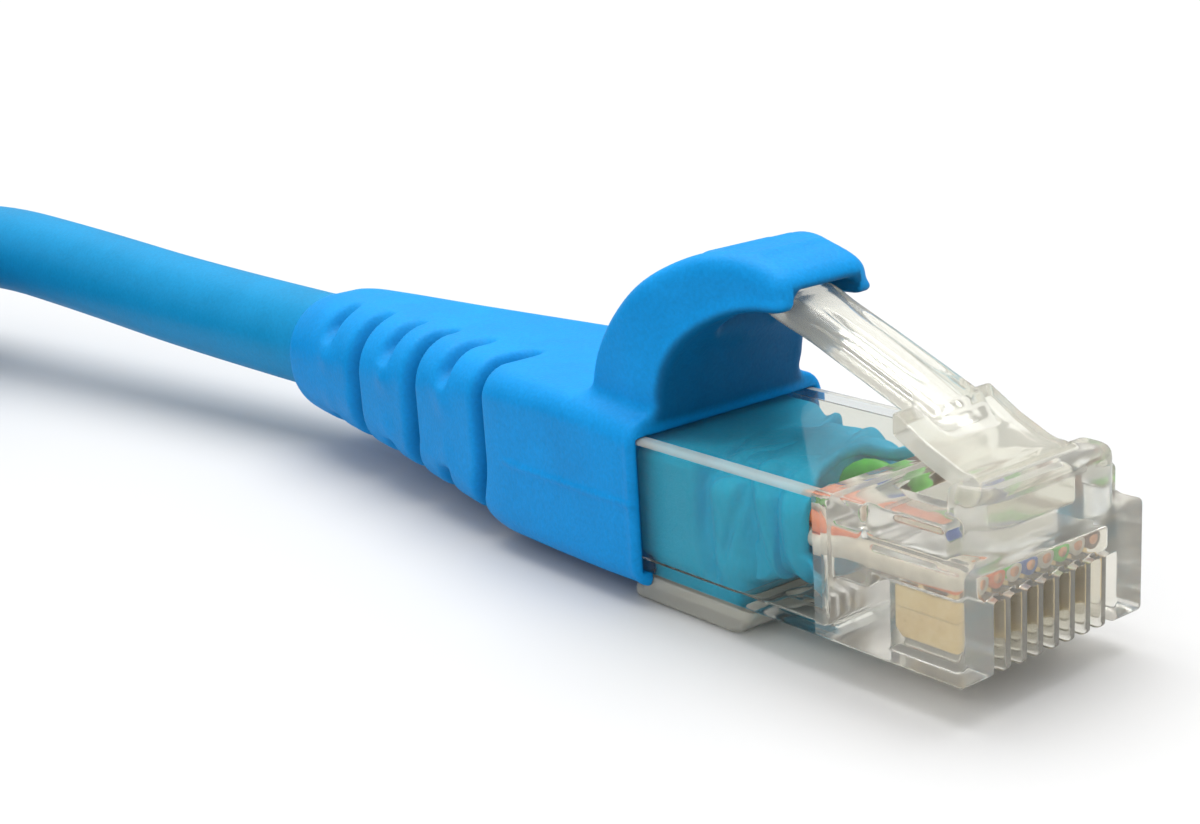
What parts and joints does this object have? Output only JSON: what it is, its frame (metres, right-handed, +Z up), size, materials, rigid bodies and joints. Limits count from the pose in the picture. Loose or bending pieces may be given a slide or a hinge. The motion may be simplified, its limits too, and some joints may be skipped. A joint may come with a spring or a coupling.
{
  "type": "ethernet patch cable",
  "caption": "Snagless ethernet patch cable: clear modular plug with sprung latch and contacts, soft boot with an arched latch guard, and a round jacketed cable stored in a tied coil.",
  "frame": {"origin": "bottom centre of the near plug with its boot, on the surface that its rear foot rests on", "axes": "+X out of the near plug's nose, +Z up on the latch side, +Y across the plug; the cable leaves along -X"},
  "size_m": [0.1512, 0.0929, 0.0173],
  "materials": {
    "clear_polycarbonate": "clear moulded polycarbonate, polished faces",
    "blue_boot": "soft moulded PVC with a fine matte grain",
    "blue_jacket": "extruded PVC jacket, satin",
    "gold_contact": "gold-plated bronze",
    "wire_white_orange": "white insulation with an orange stripe",
    "wire_orange": "orange insulation",
    "wire_white_green": "white insulation with a green stripe",
    "wire_blue": "blue insulation",
    "wire_white_blue": "white insulation with a blue stripe",
    "wire_green": "green insulation",
    "wire_white_brown": "white insulation with a brown stripe",
    "wire_brown": "brown insulation",
    "copper": "bare stranded copper",
    "hook_and_loop": "woven hook-and-loop strap"
  },
  "bodies": {
    "cable_body": {"housing": "clear_polycarbonate", "boot": "blue_boot", "jacket_end": "blue_jacket", "contact_1": "gold_contact", "contact_2": "gold_contact", "contact_3": "gold_contact", "contact_4": "gold_contact", "contact_5": "gold_contact", "contact_6": "gold_contact", "contact_7": "gold_contact", "contact_8": "gold_contact", "wire_1": "wire_white_orange", "wire_2": "wire_orange", "wire_3": "wire_white_green", "wire_4": "wire_blue", "wire_5": "wire_white_blue", "wire_6": "wire_green", "wire_7": "wire_white_brown", "wire_8": "wire_brown", "copper_cores": "copper", "far_housing": "clear_polycarbonate", "far_boot": "blue_boot", "far_jacket_end": "blue_jacket", "far_contact_1": "gold_contact", "far_contact_2": "gold_contact", "far_contact_3": "gold_contact", "far_contact_4": "gold_contact", "far_contact_5": "gold_contact", "far_contact_6": "gold_contact", "far_contact_7": "gold_contact", "far_contact_8": "gold_contact", "far_wire_1": "wire_white_orange", "far_wire_2": "wire_orange", "far_wire_3": "wire_white_green", "far_wire_4": "wire_blue", "far_wire_5": "wire_white_blue", "far_wire_6": "wire_green", "far_wire_7": "wire_white_brown", "far_wire_8": "wire_brown", "far_copper_cores": "copper", "cable_lead": "blue_jacket", "cable_coil": "blue_jacket", "cable_tail": "blue_jacket", "cable_tie": "hook_and_loop"},
    "guard_body": {"latch_guard": "blue_boot"},
    "latch_body": {"latch": "clear_polycarbonate"},
    "far_guard_body": {"far_latch_guard": "blue_boot"},
    "far_latch_body": {"far_latch": "clear_polycarbonate"}
  },
  "joints": [
    {"name": "guard_flex", "type": "hinge", "parent": "cable_body", "child": "guard_body", "pos_m": [0.00485, 0, 0.0103], "axis": [0, 1, 0], "range_deg": [0, 20], "stiffness_Nm_per_rad": 0.004},
    {"name": "latch_flex", "type": "hinge", "parent": "cable_body", "child": "latch_body", "pos_m": [0.0263, 0, 0.0091], "axis": [0, -1, 0], "range_deg": [0, 15.5], "stiffness_Nm_per_rad": 0.004},
    {"name": "far_guard_flex", "type": "hinge", "parent": "cable_body", "child": "far_guard_body", "pos_m": [-0.0179, -0.0799, 0.0103], "axis": [0, 1, 0], "range_deg": [0, 20], "stiffness_Nm_per_rad": 0.004},
    {"name": "far_latch_flex", "type": "hinge", "parent": "cable_body", "child": "far_latch_body", "pos_m": [0.00355, -0.0799, 0.0091], "axis": [0, -1, 0], "range_deg": [0, 15.5], "stiffness_Nm_per_rad": 0.004}
  ],
  "couplings": [
    {"joint": "latch_flex", "follows": "guard_flex", "ratio": 0.76},
    {"joint": "far_latch_flex", "follows": "far_guard_flex", "ratio": 0.76}
  ]
}
